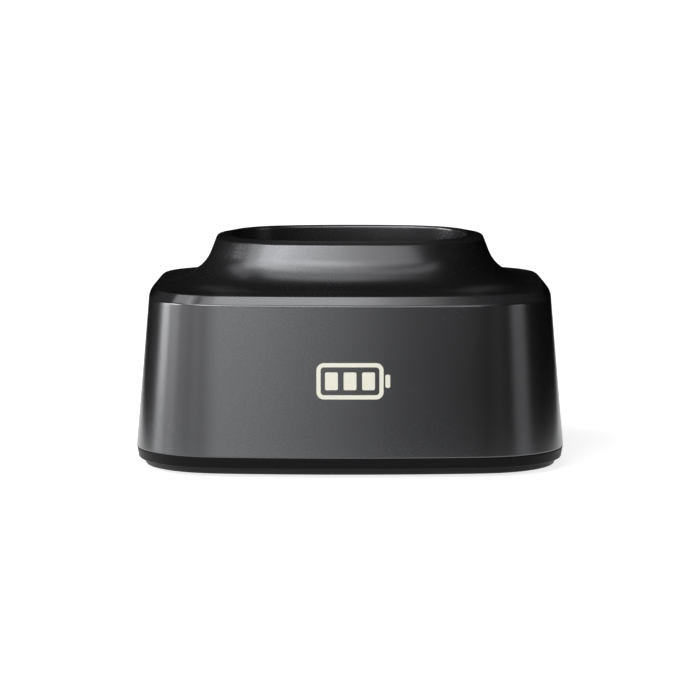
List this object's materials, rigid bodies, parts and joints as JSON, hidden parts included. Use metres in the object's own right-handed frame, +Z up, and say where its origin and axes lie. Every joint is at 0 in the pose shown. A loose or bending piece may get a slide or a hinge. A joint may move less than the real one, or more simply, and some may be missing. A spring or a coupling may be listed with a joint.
{
  "type": "clipper charging stand",
  "caption": "Low weighted charging stand with a tapered body, a concave collar round an open socket and sprung contacts in its floor.",
  "frame": {"origin": "bottom centre, on the surface that the feet stand on", "axes": "+Z up, front towards -Y, width along X"},
  "size_m": [0.1, 0.082, 0.0525],
  "materials": {
    "shell": "satin",
    "liner": "satin",
    "tray": "satin",
    "cover": "satin",
    "steel": "zinc plated",
    "screw_steel": "black zinc",
    "chip_resin": "matte",
    "fuse_resin": "matte",
    "ferrite": "matte",
    "capacitor_can": "satin",
    "nylon": "satin",
    "board_laminate": "satin",
    "jack_plastic": "satin",
    "nickel": "polished",
    "block_plastic": "matte",
    "gold_plate": "polished",
    "spring_steel": "satin",
    "brass_strip": "satin",
    "lead_black": "satin",
    "lead_red": "satin",
    "foot_rubber": "matte"
  },
  "bodies": {
    "base": {"ballast_plate": "steel", "ballast_screws": "screw_steel", "base_tray": "tray", "block_screws": "screw_steel", "board_screws": "screw_steel", "bottom_cover": "cover", "charge_chip": "chip_resin", "contact_block": "block_plastic", "contact_lead_left": "lead_black", "contact_lead_right": "lead_red", "contact_retainer": "block_plastic", "contact_spring_left": "spring_steel", "contact_spring_right": "spring_steel", "contact_terminal_left": "brass_strip", "contact_terminal_right": "brass_strip", "cover_screws": "screw_steel", "foot_front_left": "foot_rubber", "foot_front_right": "foot_rubber", "foot_rear_left": "foot_rubber", "foot_rear_right": "foot_rubber", "housing_screws": "screw_steel", "jack_body": "jack_plastic", "jack_centre_pin": "nickel", "jack_spring_leaf": "nickel", "lead_header": "nylon", "liner_screws": "screw_steel", "main_board": "board_laminate", "power_inductor": "ferrite", "resettable_fuse": "fuse_resin", "smoothing_capacitor": "capacitor_can", "upper_housing": "shell", "well_liner": "liner"},
    "contact_left": {"contact_pin_left": "gold_plate"},
    "contact_right": {"contact_pin_right": "gold_plate"}
  },
  "joints": [
    {"name": "contact_left_press", "type": "slide", "parent": "base", "child": "contact_left", "axis": [0, 0, 1], "range_m": [-0.0015, 0], "stiffness_N_per_m": 150, "springref_m": 0.0008, "deforming": ["contact_spring_left"]},
    {"name": "contact_right_press", "type": "slide", "parent": "base", "child": "contact_right", "axis": [0, 0, 1], "range_m": [-0.0015, 0], "stiffness_N_per_m": 150, "springref_m": 0.0008, "deforming": ["contact_spring_right"]}
  ]
}
